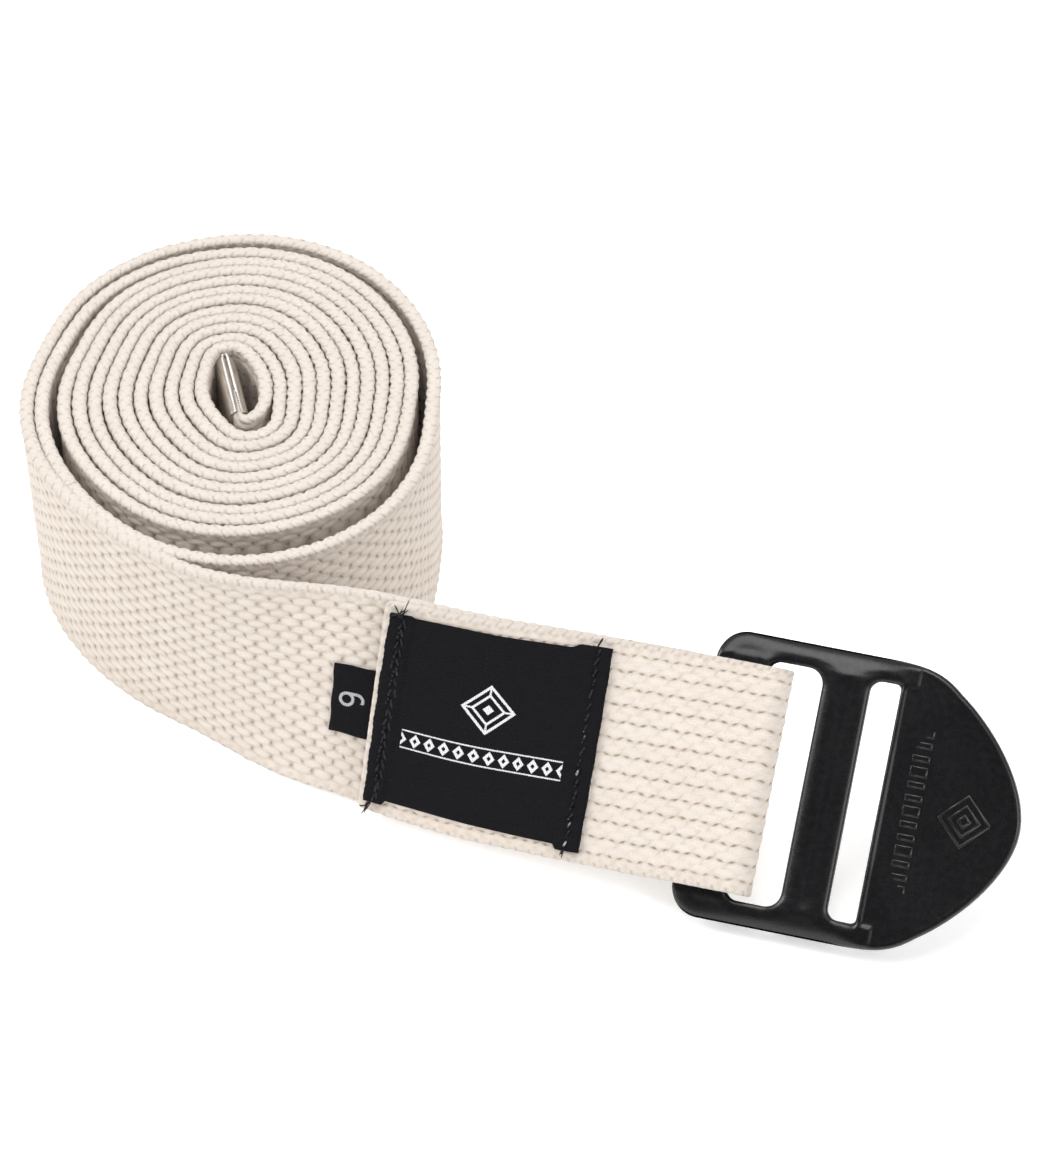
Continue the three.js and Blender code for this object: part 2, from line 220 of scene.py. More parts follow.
def main_plan():
    """The main layer's plan from the clip to where the layers part, with lean, turns and edge there."""
    roll, turns, pitch = roll_plan()
    clip_way = unit(CLIP_MOUTH - CLIP_TIP)
    leaving_clip = CLIP_MOUTH + STRAIGHT_FROM_CLIP * clip_way
    inner_pull = roll[0] - INNER_PULL * unit(roll[1] - roll[0])
    buried = CLIP_MOUTH - WEBBING_IN_CLIP * clip_way
    straight = buried + np.linspace(0, 1, 12, endpoint=False)[:, None] * (leaving_clip - buried)
    inner = bezier(leaving_clip, leaving_clip + EXIT_PULL * clip_way, inner_pull, roll[0], 40)
    roll_pull = roll[-1] + ROLL_PULL * unit(roll[-1] - roll[-2])
    leaving = bezier(roll[-1], roll_pull, LEAVE_END - np.array([LEAVE_PULL, 0]), LEAVE_END, 160)
    x = np.arange(LEAVE_END[0] + 0.5, PART_X + 0.25, 0.5)
    tail = np.column_stack([x, tail_y(x)])
    plan = np.vstack([straight, inner[:-1], roll, leaving[1:], tail])
    start = len(straight) + len(inner) - 1
    index = np.arange(len(plan))
    wound = np.interp(index, start + np.arange(len(roll)), turns)
    edge = np.interp(index, start + np.arange(len(roll)), np.minimum(EDGE_HALF, pitch / 2 * EDGE_TOUCH))
    in_clip = np.interp(index, [0, 11, 20, start], [0.15, 0.3, 1.1, edge[start]])
    edge = np.where(index < start, in_clip, edge)
    in_roll = np.where(index < start, 0.0, splay_at(wound))
    lean = np.where(index >= start + len(roll), lean_at(plan[:, 0]), in_roll)
    return plan, lean, wound, edge


def resample(values, along, wanted):
    return np.column_stack([np.interp(wanted, along, column) for column in values.T])


def lean_frame(heading, lean):
    """Across and normal of a section heading along heading and tipped back by lean."""
    back = np.column_stack([-heading[:, 1], heading[:, 0], np.zeros(len(heading))])
    across = back * np.sin(lean)[:, None]
    across[:, 2] += np.cos(lean)
    forward = np.column_stack([heading, np.zeros(len(heading))])
    return across, np.cross(forward, across)


def main_stations():
    """Dense stations of the main layer, and the turns wound at each."""
    plan, lean, wound, edge = main_plan()
    along = np.concatenate([[0], np.cumsum(np.linalg.norm(np.diff(plan, axis=0), axis=1))])
    fine = np.arange(0, along[-1], 0.1)
    kernel = np.hanning(17) / np.hanning(17).sum()
    padded = np.pad(resample(plan, along, fine), ((8, 8), (0, 0)), mode="reflect", reflect_type="odd")
    smooth_plan = np.column_stack([np.convolve(column, kernel, "valid") for column in padded.T])
    heading = unit(np.gradient(smooth_plan, axis=0))
    lean, wound, edge = (np.interp(fine, along, values) for values in (lean, wound, edge))
    across, normal = lean_frame(heading, lean)
    centre = np.column_stack([smooth_plan, middle_height(lean)])
    centre[:, 2] += 0.45 * (1 - smooth(wound, 9.6, 10.6)) * np.sin(wound * 1.9 + 0.6) ** 2
    stations = {"centre": centre, "across": across, "normal": normal, "along": fine, "edge": edge}
    return stations, wound


def tail_section(x):
    """Middle, across and normal of the tail's main layer at each x."""
    x = np.asarray(x, float)
    heading = unit(np.column_stack([np.ones_like(x), tail_y(x + 0.5) - tail_y(x - 0.5)]))
    lean = lean_at(x)
    across, normal = lean_frame(heading, lean)
    return np.column_stack([x, tail_y(x), middle_height(lean)]), across, normal


def return_stations(start_along):
    """From where the layers part, round the end bar and back along the front to the cut end."""
    back_x = np.arange(PART_X, LOOP_TURN_X, 0.1)
    front_x = np.arange(LOOP_TURN_X, CUT_END_X - 0.05, -0.1)
    middle_n = LAYER_SPACING / 2
    back_n = (middle_n - LOOP_RADIUS) * smooth(back_x, PART_X, BAR_START_X)
    share = smooth(front_x, PART_X, BAR_START_X)
    front_n = LAYER_SPACING + (middle_n + LOOP_RADIUS - LAYER_SPACING) * share
    angle = np.linspace(0, math.pi, 80)[1:-1]
    x = np.concatenate([back_x, LOOP_TURN_X + LOOP_RADIUS * np.sin(angle), front_x])
    n = np.concatenate([back_n, middle_n - LOOP_RADIUS * np.cos(angle), front_n])
    base, across, out = tail_section(np.minimum(x, LOOP_TURN_X))
    centre = base + out * n[:, None]
    centre[:, 0] += x - np.minimum(x, LOOP_TURN_X)
    normal = unit(np.cross(unit(np.gradient(centre, axis=0)), across))
    along = start_along + np.concatenate([[0], np.cumsum(np.linalg.norm(np.diff(centre, axis=0), axis=1))])
    edge = np.full(len(along), RETURN_EDGE_HALF)
    return {"centre": centre, "across": across, "normal": normal, "along": along, "edge": edge}


def cut(stations, start, end, step):
    """Evenly spaced stations between two distances along the webbing."""
    wanted = np.linspace(start, end, int(round((end - start) / step)) + 1)
    along = stations["along"]
    result = {key: unit(resample(stations[key], along, wanted)) for key in ("across", "normal")}
    result["centre"] = resample(stations["centre"], along, wanted)
    result["edge"] = np.interp(wanted, along, stations["edge"])
    result["along"] = wanted
    return result


# --- the weave's relief
def hashed(a, b, seed):
    value = np.sin(a * 12.9898 + b * 78.233 + seed * 37.719) * 43758.5453
    return value - np.floor(value)


def grains(u, v, row, half_length, half_width, skew, shift):
    """Height from 0 to 1 of one row's grains at points u along and v across the webbing."""
    row_v = (row + 0.5 - ROWS / 2) * ROW + shift
    place = u / GRAIN + 0.5 * (row % 2)
    index = np.floor(place)
    size = 1 + 0.16 * (hashed(index, row, 2) - 0.5)
    a = (place - index - 0.5 + 0.05 * (hashed(index, row, 1) - 0.5)) * GRAIN
    b = v - row_v - 0.12 * (hashed(index, row, 3) - 0.5)
    a = a - skew * b
    reach = (np.abs(a) / (half_length * size)) ** 2.4 + (np.abs(b) / (half_width * size)) ** 2
    height = np.sqrt(np.clip(1 - reach, 0, 1))
    inside = (row >= 0) & (row < ROWS)
    return np.where(inside, height * (0.9 + 0.2 * hashed(index, row, 4)), 0)


def side_a(u, v):
    """Staggered grains: blunt ones and slim, slanted ones in alternate rows."""
    row = np.floor(v / ROW + ROWS / 2)
    height = np.zeros_like(u)
    for step in (-1, 0, 1):
        near = row + step
        slim = near % 2 == 0
        length, width = np.where(slim, 1.72, 1.62), np.where(slim, 0.8, 1.05)
        skew, tall = np.where(slim, 0.45, -0.2), np.where(slim, 0.9, 1.0)
        height = np.maximum(height, tall * grains(u, v, near, length, width, skew, 0))
    return np.maximum(height, 0.25)


def side_b(u, v):
    """Bands of long soft floats, a pair of rows in each, with a stitched-looking groove between bands."""
    row = np.floor(v / ROW + ROWS / 2)
    height = np.zeros_like(u)
    for step in (-1, 0, 1):
        near = row + step
        shift = np.where(near % 2 == 0, 0.08, -0.08)
        height = np.maximum(height, grains(u, v, near, 1.86, 1.0, 0.12, shift))
    from_groove = (v / (2 * ROW) + 0.5) % 1 - 0.5
    from_pit = ((u / PIT_PERIOD) % 1 - 0.5) * PIT_PERIOD
    groove = np.exp(-((from_groove * 2 * ROW / 0.42) ** 2)) * (0.35 + 0.65 * np.exp(-((from_pit / 0.6) ** 2)))
    return np.clip(0.45 + 0.55 * height - 0.75 * groove, 0, 1)


def rope(u, angle):
    """The selvedge's braid: slanted bumps down each side of the edge, half a bump apart."""
    height = np.zeros(np.broadcast(u, angle).shape)
    for way in (-1, 1):
        place = u / SELVEDGE_PERIOD + 0.25 * way - 0.2 * angle * way
        index = np.floor(place + 0.5)
        a = (place - index) * SELVEDGE_PERIOD * (1 + 0.12 * hashed(index, way, 5))
        b = angle - way * 0.62
        bump = np.sqrt(np.clip(1 - (np.abs(a) / 1.25) ** 2 - (b / 1.2) ** 2, 0, 1))
        height = np.maximum(height, bump * (0.88 + 0.24 * hashed(index, way, 6)))
    return height


def rounded(value, squareness):
    return np.sign(value) * np.abs(value) ** squareness


def webbing_mesh(name, stations, face_v, edge_pieces=8, cut_end=0.0):
    """A length of webbing: grained faces, and a braided cord along each edge."""
    edge = np.linspace(-math.pi / 2, math.pi / 2, edge_pieces + 1)[1:-1]
    v = np.concatenate([face_v, EDGE_V + 0 * edge, face_v[::-1], -EDGE_V + 0 * edge])
    top = np.concatenate([0 * face_v, 1 + 0 * edge, 0 * face_v, -1 + 0 * edge])
    angle = np.concatenate([0 * face_v, edge, 0 * face_v, edge])
    on_edge = top != 0
    face_side = np.concatenate([1 + 0 * face_v, 0 * edge, -1 + 0 * face_v, 0 * edge])
    side = np.where(on_edge, -np.sin(angle) * top, face_side)
    lift = np.where(on_edge, np.cos(angle), 0)
    along = stations["along"][:, None]
    u, vv = np.broadcast_arrays(along, v[None, :])
    relief = np.where(side > 0, side_a(u, vv), side_b(u, vv))
    near_edge = np.where(on_edge, 1, smooth(np.abs(vv), EDGE_V - 1.1, EDGE_V))
    cord = rope(u, np.where(on_edge, angle * top, -side * math.pi / 2))
    face_reach = CREST - RELIEF + RELIEF * relief
    cord_reach = stations["edge"][:, None] * (0.7 + 0.3 * cord)
    reach = face_reach * (1 - near_edge) + cord_reach * near_edge
    thick = np.ones(len(along))
    if cut_end:
        left = stations["along"][-1] - stations["along"]
        thick = 0.5 + 0.5 * np.sqrt(np.clip(left / cut_end, 0, 1))
    out = np.where(on_edge, -rounded(np.sin(angle), 0.62) * top, face_side) * reach * thick[:, None]
    cord_width = CREST * (0.74 + 0.26 * cord) * thick[:, None]
    wide = vv + top * cord_width * rounded(lift, 0.75)
    points = (
        stations["centre"][:, None, :]
        + stations["across"][:, None, :] * wide[..., None]
        + stations["normal"][:, None, :] * out[..., None]
    )
    mesh = ring_mesh(name, points)
    # relief, with the cord's bumps near the edges, also drives painted shade in the cotton's colour: dark in
    # the hollows, light on the crests
    bumps = 0.35 + 0.65 * cord
    blended = relief * (1 - near_edge) + bumps * near_edge
    read = {"relief": blended, "along": u, "across": vv + top * lift, "side": side, "lift": lift}
    for key, values in read.items():
        add_attribute(mesh, key, np.broadcast_to(values, u.shape))
    return mesh


# --- mesh building
joints = {joint["name"]: joint for joint in frame["joints"]}
bar_middle, bar_across, bar_normal = (value[0] for value in tail_section([BUCKLE_X]))
bar_middle = bar_middle + bar_normal * LAYER_SPACING / 2
SHIFT = np.array(joints["buckle_swing"]["pos_m"]) * 1000 - bar_middle


def placed(points):
    return (np.asarray(points) + SHIFT) * 0.001


def mesh_of(name, points, quads):
    mesh = bpy.data.meshes.new(name)
    points, quads = placed(points).reshape(-1, 3), np.asarray(quads)
    mesh.vertices.add(len(points))
    mesh.vertices.foreach_set("co", points.astype(np.float32).ravel())
    mesh.loops.add(quads.size)
    mesh.loops.foreach_set("vertex_index", quads.astype(np.int32).ravel())
    mesh.polygons.add(len(quads))
    mesh.polygons.foreach_set("loop_start", np.arange(0, quads.size, 4, dtype=np.int32))
    mesh.update(calc_edges=True)
    mesh.polygons.foreach_set("use_smooth", np.ones(len(mesh.polygons), bool))
    return mesh


def skin_quads(rings, around, closed):
    """Faces of a skin over rings of points; a closed one joins its last ring to its first."""
    ring, spot = np.meshgrid(np.arange(rings if closed else rings - 1), np.arange(around), indexing="ij")
    here, ahead, after = ring * around, (ring + 1) % rings * around, (spot + 1) % around
    return np.stack((here + spot, ahead + spot, ahead + after, here + after), axis=-1).reshape(-1, 4)


def ring_quads(rings, around):
    """Faces of an open skin, with a cap of quads at each end."""
    i = np.arange(around // 2 - 1)
    cap = np.column_stack([i, i + 1, around - 2 - i, around - 1 - i])
    return np.vstack([skin_quads(rings, around, False), cap, cap[:, ::-1] + (rings - 1) * around])


def ring_mesh(name, points):
    return mesh_of(name, points, ring_quads(*points.shape[:2]))


def joined_rings(name, shapes):
    """One mesh of many ring skins."""
    points, quads, start = [], [], 0
    for shape in shapes:
        quads.append(ring_quads(*shape.shape[:2]) + start)
        points.append(shape.reshape(-1, 3))
        start += shape.shape[0] * shape.shape[1]
    return mesh_of(name, np.vstack(points), np.vstack(quads))


def slab_mesh(name, top, bottom):
    """A closed thin sheet between two grids of points."""
    rows, columns = top.shape[:2]
    rim = [(0, j) for j in range(columns - 1)] + [(i, columns - 1) for i in range(rows - 1)]
    rim += [(rows - 1, j) for j in range(columns - 1, 0, -1)] + [(i, 0) for i in range(rows - 1, 0, -1)]
    i, j = np.meshgrid(np.arange(rows - 1), np.arange(columns - 1), indexing="ij")
    at = i * columns + j
    face = np.stack([at, at + columns, at + columns + 1, at + 1], axis=-1).reshape(-1, 4)
    loop = np.array([a * columns + b for a, b in rim])
    under = rows * columns
    after = np.roll(loop, -1)
    wall = np.column_stack([loop, after, after + under, loop + under])
    return mesh_of(name, np.concatenate([top, bottom]), np.vstack([face, face[:, ::-1] + under, wall]))


def add_attribute(mesh, name, values):
    attribute = mesh.attributes.new(name, "FLOAT", "POINT")
    attribute.data.foreach_set("value", np.ascontiguousarray(values, np.float32).ravel())


def linked(name, data):
    thing = bpy.data.objects.new(name, data)
    bpy.context.scene.collection.objects.link(thing)
    return thing


def new_object(name, mesh, material):
    piece = linked(name, mesh)
    mesh.materials.append(material)
    return piece


# --- materials
class Value:
    """A number in a node tree, so that a pattern reads as arithmetic."""

    def __init__(self, nodes, socket):
        self.nodes, self.socket = nodes, socket

    def op(self, operation, *others, clamp=False):
        return self.nodes.math(operation, self, *others, clamp=clamp)

    def __add__(self, other):
        return self.op("ADD", other)

    def __sub__(self, other):
        return self.op("SUBTRACT", other)

    def __mul__(self, other):
        return self.op("MULTIPLY", other)

    def __truediv__(self, other):
        return self.op("DIVIDE", other)

    def __rsub__(self, other):
        return self.nodes.math("SUBTRACT", other, self)

    def __abs__(self):
        return self.op("ABSOLUTE")

    __radd__ = __add__

    def fraction(self):
        return self.op("FRACT")

    def least(self, other):
        return self.op("MINIMUM", other)

    def most(self, other):
        return self.op("MAXIMUM", other)

    def bell(self, width):
        """1 at nought, falling away smoothly over width."""
        scaled = self / width
        return (scaled * scaled * -1.0).op("EXPONENT")

    def within(self, half, soft):
        """1 where the size of this is under half, 0 beyond, with a soft edge."""
        return ((half - abs(self)) / soft + 0.5).clamped()

    def clamped(self):
        return self.op("ADD", 0.0, clamp=True)


class Nodes:
    """A new material with a Principled shader, and short ways to add and join nodes."""

    def __init__(self, name):
        self.material = bpy.data.materials.new(name)
        self.material.use_nodes = True
        self.tree = self.material.node_tree
        self.tree.nodes.clear()
        output = self.tree.nodes.new("ShaderNodeOutputMaterial")
        self.shader = self.tree.nodes.new("ShaderNodeBsdfPrincipled")
        self.tree.links.new(self.shader.outputs["BSDF"], output.inputs["Surface"])

    def put(self, target, value):
        if isinstance(value, Value):
            self.tree.links.new(value.socket, target)
        elif isinstance(value, tuple) and len(value) == 3 and target.type == "RGBA":
            target.default_value = (*value, 1)
        else:
            target.default_value = value

    def fill(self, node, **sockets):
        for name, value in sockets.items():
            self.put(node.inputs[name.replace("_", " ")], value)

    def set(self, **sockets):
        self.fill(self.shader, **sockets)

    def math(self, operation, *values, clamp=False):
        node = self.tree.nodes.new("ShaderNodeMath")
        node.operation = operation
        node.use_clamp = clamp
        for target, value in zip(node.inputs, values):
            self.put(target, value)
        return Value(self, node.outputs[0])

    def attribute(self, name):
        node = self.tree.nodes.new("ShaderNodeAttribute")
        node.attribute_name = name
        return Value(self, node.outputs["Fac"])

    def combine(self, x, y, z=0.0):
        node = self.tree.nodes.new("ShaderNodeCombineXYZ")
        for target, value in zip(node.inputs, (x, y, z)):
            self.put(target, value)
        return Value(self, node.outputs[0])

    def place(self):
        return Value(self, self.tree.nodes.new("ShaderNodeTexCoord").outputs["Object"])

    def noise(self, vector, scale, detail=2.0, roughness=0.5):
        node = self.tree.nodes.new("ShaderNodeTexNoise")
        self.fill(node, Vector=vector, Scale=scale, Detail=detail, Roughness=roughness)
        return Value(self, node.outputs["Fac"])

    def ramp(self, factor, *stops):
        node = self.tree.nodes.new("ShaderNodeValToRGB")
        elements = node.color_ramp.elements
        while len(elements) < len(stops):
            elements.new(0.5)
        for element, (position, colour) in zip(elements, stops):
            element.position = position
            element.color = (*colour, 1)
        self.put(node.inputs[0], factor)
        return Value(self, node.outputs[0])

    def mix(self, factor, first, second):
        node = self.tree.nodes.new("ShaderNodeMix")
        node.data_type = "RGBA"
        for target, value in ((node.inputs[0], factor), (node.inputs[6], first), (node.inputs[7], second)):
            self.put(target, value)
        return Value(self, node.outputs[2])

    def bump(self, height, distance, strength=1.0):
        node = self.tree.nodes.new("ShaderNodeBump")
        self.fill(node, Strength=strength, Distance=distance, Height=height)
        self.tree.links.new(node.outputs[0], self.shader.inputs["Normal"])


def grain_pits(u, v):
    """Side A: painted shade, a small dark spot in the pit where each grain ends, half a grain along from one
    row to the next, and fainter shade along the seams between rows.
    """
    rows = v / ROW + ROWS / 2
    odd = (rows.op("FLOOR") * 0.5).fraction()
    across = (rows.fraction() - 0.5) * ROW
    from_end = ((u / GRAIN + odd + 0.5).fraction() - 0.5) * GRAIN + across * (0.5 - odd * 1.3)
    marks = from_end.bell(0.26) * across.bell(0.42)
    seams = (abs(across) - ROW / 2).bell(0.15) * from_end.bell(1.0)
    return marks.most(seams * 0.35)


def groove_pits(u, v):
    """Side B: painted shade in the grooves between the bands of floats: lines of short dark dashes, every
    other one aslant, a faint line along each groove, and faint shade where the floats end.
    """
    along = u / PIT_PERIOD
    from_pit = (along.fraction() - 0.5) * PIT_PERIOD
    odd = (along.op("FLOOR") * 0.5).fraction() * 2.0
    across = ((v / (2 * ROW) + 0.5).fraction() - 0.5) * (2 * ROW) + from_pit * (odd * 0.5 - 0.12)
    dashes = from_pit.bell(0.46) * across.bell(0.17)
    # painted shade: a thin dark line down the middle of the groove
    thread = across.bell(0.12) * 0.16
    rows = v / ROW + ROWS / 2
    floats = ((u / GRAIN + (rows.op("FLOOR") * 0.5).fraction()).fraction() - 0.5) * GRAIN
    slanted = floats + (rows.fraction() - 0.5) * 0.9
    ends = (abs(slanted) - GRAIN / 2).bell(0.16) * 0.1
    return dashes.most(thread).most(ends)


def braid(u, side):
    """The selvedge's bumps again, finer than the mesh can carry: 1 on a bump and 0 in the creases."""
    height = None
    for way in (-1, 1):
        place = u / SELVEDGE_PERIOD + 0.25 * way - side * (0.3 * way) + 0.5
        a = (place.fraction() - 0.5) * (SELVEDGE_PERIOD / 1.15)
        b = (side - way * 0.5) / 0.85
        bump = (1.0 - a * a - b * b).clamped().op("SQRT")
        height = bump if height is None else height.most(bump)
    return height


def cotton_material():
    nodes = Nodes("natural_cotton")
    along, across = nodes.attribute("along"), nodes.attribute("across")
    side, relief, lift = nodes.attribute("side"), nodes.attribute("relief"), nodes.attribute("lift")
    place = nodes.combine(along, across, side * 1.9)
    waver = nodes.noise(place, 0.8, 2) - 0.5
    waver_too = nodes.noise(nodes.combine(across, along, side * 1.9), 0.8, 2) - 0.5
    u, v = along + waver * 0.8, across + waver_too * 0.6
    on_face = ((EDGE_V - 0.7 - abs(across)) * 2.0).clamped()
    on_a, on_b = side.clamped() * 0.85, (side * -1.0).clamped()
    pits = (grain_pits(u, v) * on_a).most(groove_pits(u, v) * on_b)
    on_cord = (lift * 3.0).clamped()
    cord = braid(along + waver * 0.3, side)
    # painted shade in the creases between the selvedge's bumps
    creases = (1.0 - cord * 1.25).clamped() * on_cord
    uneven = nodes.noise(place, 0.5, 2)
    pits = (pits * on_face * 0.9).most(creases * 0.42) * (0.35 + uneven * 1.1)
    threads = nodes.combine(along * 0.9, across * 6.0 + along * 2.2, side * 11.0)
    fibres = nodes.noise(threads, 1.3, 5, 0.75)
    fluff = nodes.noise(place, 3.6, 5, 0.75)
    # Painted shade: the colour follows the weave's relief, deep brown in its hollows and palest on its
    # crests.
    base = nodes.ramp(
        relief,
        (0.0, (0.50, 0.385, 0.295)),
        (0.3, (0.74, 0.64, 0.545)),
        (0.7, (0.85, 0.763, 0.676)),
        (1.0, (0.89, 0.812, 0.735)),
    )
    cloud = (nodes.noise(place, 0.1, 3) - 0.42).clamped()
    tone = nodes.mix(cloud * 0.9, base, (0.82, 0.69, 0.59))
    tone = nodes.mix((fibres - 0.5).clamped() * 2.4, tone, (0.95, 0.89, 0.82))
    tone = nodes.mix((0.5 - fluff).clamped() * 2.2, tone, (0.64, 0.52, 0.42))
    # painted shade: pits, grooves and creases darkened towards deep brown
    tone = nodes.mix(pits.clamped(), tone, (0.30, 0.205, 0.14))
    nodes.set(Base_Color=tone, Roughness=0.93, Sheen_Weight=0.2, Sheen_Roughness=0.6, Specular_IOR_Level=0.15)
    nodes.bump(fibres * 0.9 + fluff * 1.3 - pits * 1.2 + cord * on_cord * 0.8, 0.00036, 0.9)
    return nodes.material


def satin_black(nodes, x, y):
    """Woven black: fine threads across, and a faint twill."""
    threads = ((y / 0.34).fraction() - 0.5).bell(0.3)
    twill = (((x * 1.5 + y) / 0.62).fraction() - 0.5).bell(0.22)
    soft = nodes.noise(nodes.combine(x, y), 0.5, 3)
    speck = nodes.noise(nodes.combine(x * 3.0, y * 3.0), 1.0, 2)
    tone = threads * 0.35 + twill * 0.25 + soft * 0.3 + speck * 0.35
    return tone, threads


def woven_material(name, motif, ink):
    """Black woven tape with a pale motif; motif gives 0 to 1 from place in millimetres."""
    nodes = Nodes(name)
    x, y = nodes.attribute("label_x"), nodes.attribute("label_y")
    tone, threads = satin_black(nodes, x, y)
    black = nodes.ramp(tone, (0.0, (0.002, 0.002, 0.0025)), (1.0, (0.0105, 0.01, 0.0122)))
    ragged = nodes.noise(nodes.combine(x, y * 0.5), 3.0, 1) - 0.5
    mask = motif(x + ragged * 0.12, y + ragged * 0.1) * nodes.attribute("face")
    floats = ((x / 0.3).fraction() - 0.5).bell(0.33)
    pale = nodes.mix(floats, tuple(c * 0.62 for c in ink), ink)
    nodes.set(Base_Color=nodes.mix(mask, black, pale), Roughness=0.75, Specular_IOR_Level=0.06)
    nodes.bump(threads * (1.0 - mask) + floats * mask * 1.5 + mask, 0.00006)
    return nodes.material


def label_motif(x, y):
    """Nested diamonds, and below them a row of small diamonds between two fine lines."""
    height = abs(y - 3.6)
    diamond = abs(x) + height * 1.08
    rings = (diamond - 4.35).within(0.33, 0.12).most((diamond - 2.7).within(0.3, 0.12))
    rings = rings.most(diamond.within(0.95, 0.12))
    spokes = abs(x).least(height).within(0.16, 0.1) * (diamond - 3.5).within(0.75, 0.1)
    row = y + 4.6
    cell = ((x / 2.5).fraction() - 0.5) * 2.5
    from_cell = abs(cell) + abs(row) * 0.8
    block = from_cell.within(0.98, 0.12) - from_cell.within(0.36, 0.12)
    band = block.most((abs(row) - 1.55).within(0.12, 0.1)) * x.within(13.75, 0.1)
    return rings.most(spokes).most(band)


def numeral_six(x, y):
    """A woven 6 lying on its side: a ring, and a stroke that runs on from it and turns down."""
    ring = ((x * x + y * y).op("SQRT") - 1.1).within(0.27, 0.12)
    stroke = (y - 1.1).within(0.27, 0.12) * (x - 0.9).within(0.9, 0.12)
    from_turn = x - 1.8
    turn = ((from_turn * from_turn + y * y).op("SQRT") - 1.1).within(0.27, 0.12)
    turn = turn * (from_turn - 1.0).within(1.0, 0.12) * (y - 0.5).within(1.0, 0.12)
    return ring.most(stroke).most(turn)


def thread_material():
    nodes = Nodes("black_thread")
    place = nodes.place()
    speck = nodes.noise(place, 1400.0, 3)
    # pale patches along the black thread, strongest on the right-hand top row
    pale_patches = ((nodes.noise(place, 420.0, 1) - 0.66) * 9.0).clamped() * nodes.attribute("pale")
    black = nodes.ramp(speck, (0.3, (0.003, 0.003, 0.004)), (0.8, (0.028, 0.027, 0.031)))
    nodes.set(Base_Color=nodes.mix(pale_patches, black, (0.55, 0.53, 0.52)), Roughness=0.65, Specular_IOR_Level=0.2)
    nodes.bump(speck, 0.0001)
    return nodes.material


def plastic_material():
    nodes = Nodes("black_plastic")
    place = nodes.place()
    grain = nodes.noise(place, 3600.0, 2)
    flow = nodes.noise(place, 60.0, 3)
    tone = nodes.ramp(flow, (0.3, (0.0025, 0.0023, 0.003)), (0.75, (0.005, 0.0047, 0.0056)))
    dull = nodes.math("MULTIPLY_ADD", nodes.noise(place, 900.0, 2), 0.16, 0.19)
    nodes.set(Base_Color=tone, Roughness=dull, Specular_IOR_Level=0.42)
    nodes.bump(grain, 0.00002, 0.5)
    return nodes.material


def steel_material():
    nodes = Nodes("clip_steel")
    place = nodes.place()
    streaks = nodes.combine(nodes.attribute("along") * 0.4, nodes.attribute("across") * 9.0)
    brushed = nodes.noise(streaks, 1.0, 3)
    tone = nodes.ramp(brushed, (0.3, (0.40, 0.35, 0.30)), (0.7, (0.66, 0.60, 0.53)))
    # painted highlight: the sheet's top ridges are coloured near white, less so where the teeth dip
    tone = nodes.mix(nodes.attribute("edge"), tone, (0.9, 0.9, 0.92))
    nodes.set(Base_Color=tone, Metallic=0.85, Roughness=0.36)
    nodes.bump(brushed + nodes.noise(place, 2500.0, 2) * 0.4, 0.00003, 0.6)
    return nodes.material


# --- webbing pieces
def face_samples(spacing):
    return np.linspace(-EDGE_V, EDGE_V, int(round(2 * EDGE_V / spacing)) + 1)


def sparse_samples(spacing, band):
    """Close together near both edges of the webbing and far apart between."""
    near = np.arange(0, band, spacing)
    middle = np.linspace(band, EDGE_V * 2 - band, 6)
    return np.concatenate([near, middle, EDGE_V * 2 - near[::-1]]) - EDGE_V


def make_webbing(material):
    """The strap's four lengths, alike where one passes into the next."""
    main, wound = main_stations()
    along = main["along"]
    outer_start = float(np.interp(OUTER_PIECE_TURN, wound, along))
    past_roll = wound > LAST_TURN - 1e-6
    lead_start = float(along[np.argmax(past_roll & (main["centre"][:, 0] > LEAD_X))])
    part = float(along[-1])
    back = return_stations(part)
    dense, step = face_samples(0.35), 0.46
    lengths = {
        "webbing_roll": (cut(main, 0, outer_start, 0.5), sparse_samples(0.38, 2.7), 0.0),
        "webbing_outer_turn": (cut(main, outer_start, lead_start, step), dense, 0.0),
        "webbing_lead": (cut(main, lead_start, part, step), dense, 0.0),
        "webbing_return": (cut(back, part, float(back["along"][-1]), step), dense, 1.4),
    }
    made = {}
    for name, (stations, faces, cut_end) in lengths.items():
        piece = new_object(name, webbing_mesh(name, stations, faces, cut_end=cut_end), material)
        length = stations["along"][-1] - stations["along"][0]
        print(f"{name}: {length:.0f} mm, {len(piece.data.polygons)} faces")
        length * 0.001
        made[name] = piece
    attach(made["webbing_roll"], "coil")
    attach(made["webbing_outer_turn"], "coil")
    flex_from, flex_to = (tuple(placed([x, LEAVE_END[1], CENTRE_Z])) for x in FLEX_X)
    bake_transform(made["webbing_lead"])
    swing_from, swing_to = (tuple(placed([x, DOUBLED_Y, CENTRE_Z])) for x in SWING_X)
    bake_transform(made["webbing_return"])
    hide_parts("webbing_coil")
    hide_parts("webbing_tail")
    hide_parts("webbing_loop", "webbing_fold_back")


# --- label, tab and seams
def on_tail(x, v, offset):
    """Points of the tail's main layer at x along and v across, set offset out from its middle."""
    x, v, offset = np.broadcast_arrays(x, v, offset)
    centre, across, normal = tail_section(x.ravel())
    points = centre + across * v.ravel()[:, None] + normal * offset.ravel()[:, None]
    return points.reshape(*x.shape, 3)


def woven_patch(name, x, v, under, over, material, middle):
    """A woven slab over the grid x, v, from offset under to offset over, with its place about middle."""
    mesh = slab_mesh(name, on_tail(x, v, over), on_tail(x, v, under))
    add_attribute(mesh, "label_x", np.tile(x - middle[0], (2, 1)))
    add_attribute(mesh, "label_y", np.tile(v - middle[1], (2, 1)))
    add_attribute(mesh, "face", np.concatenate([np.ones_like(x), np.zeros_like(x)]))
    return new_object(name, mesh, material)


